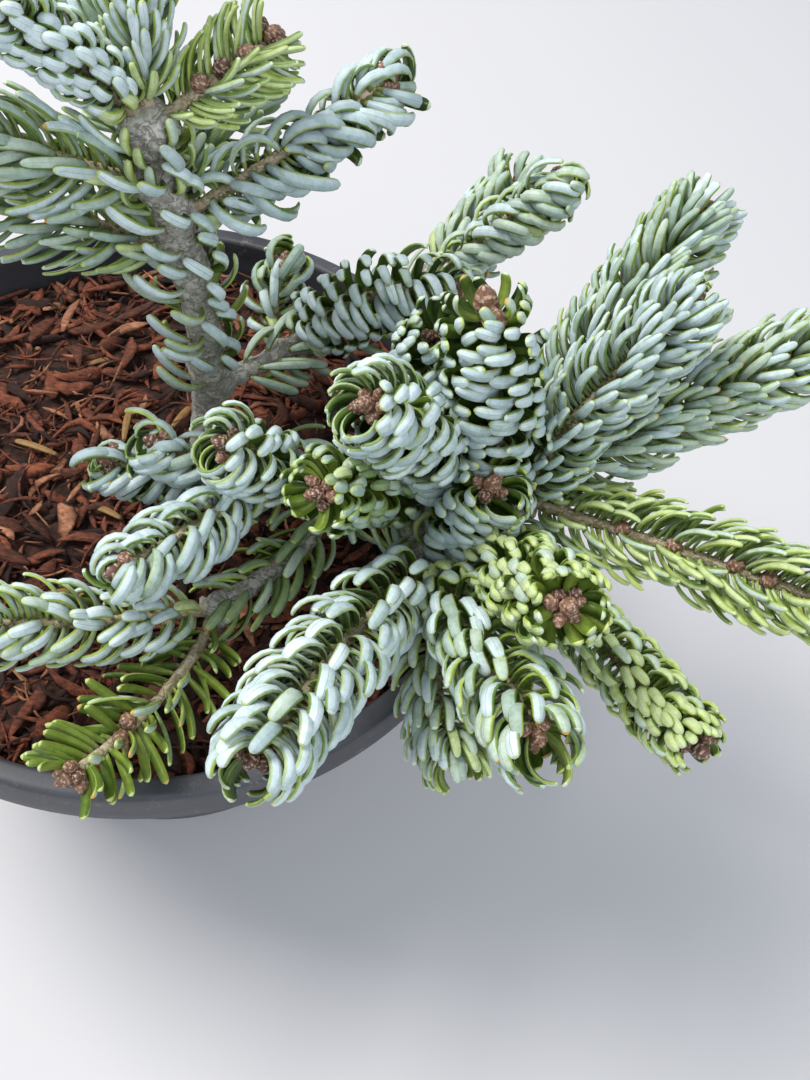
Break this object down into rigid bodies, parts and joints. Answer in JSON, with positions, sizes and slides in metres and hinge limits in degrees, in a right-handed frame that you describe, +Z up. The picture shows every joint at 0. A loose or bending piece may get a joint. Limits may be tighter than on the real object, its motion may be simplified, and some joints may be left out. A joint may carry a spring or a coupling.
{
  "type": "potted korean fir",
  "caption": "Small conifer with stout shoots of curled, silver-backed needles on a low branching trunk, growing in a round tapered plastic pot with a rim band and bark mulch.",
  "frame": {"origin": "middle of the pot's flat underside, where the pot stands", "axes": "+Z up; the long side branch leans towards +X; the low front shoots point towards -Y"},
  "size_m": [0.2667, 0.2045, 0.2617],
  "materials": {
    "pot_plastic": "moulded charcoal plastic, matte, a little dusty and scuffed",
    "bark_mulch": "shredded red-brown bark over moist growing medium",
    "bark": "thin grey bark with fine ridges and needle scars",
    "foliage": "curled fir needles, silver-blue backs with a green midrib, glossy green upper sides"
  },
  "bodies": {
    "root": {"back_bough": "bark", "back_shoot_1": "foliage", "back_shoot_2": "foliage", "back_shoot_3": "foliage", "back_shoot_4": "foliage", "far_bough": "bark", "front_bough": "bark", "front_shoot_1": "foliage", "front_shoot_2": "foliage", "front_shoot_3": "foliage", "growing_medium": "bark_mulch", "left_shoot_1": "foliage", "left_shoot_2": "foliage", "left_shoot_3": "foliage", "left_shoot_4": "foliage", "left_shoot_5": "foliage", "low_left_bough": "bark", "middle_shoot_1": "foliage", "middle_shoot_2": "foliage", "middle_shoot_3": "foliage", "middle_shoot_4": "foliage", "middle_shoot_5": "foliage", "middle_shoot_6": "foliage", "near_bough": "bark", "pot": "pot_plastic", "right_bough": "bark", "right_shoot_1": "foliage", "right_shoot_2": "foliage", "right_shoot_3": "foliage", "right_shoot_4": "foliage", "right_shoot_5": "foliage", "side_stem": "bark", "top_shoot_1": "foliage", "top_shoot_2": "foliage", "top_shoot_3": "foliage", "top_shoot_4": "foliage", "top_shoot_5": "foliage", "top_shoot_6": "foliage", "top_shoot_7": "foliage", "top_shoot_8": "foliage", "trunk": "bark", "trunk_needles_back": "foliage", "trunk_needles_left": "foliage", "trunk_needles_right": "foliage"}
  },
  "joints": []
}
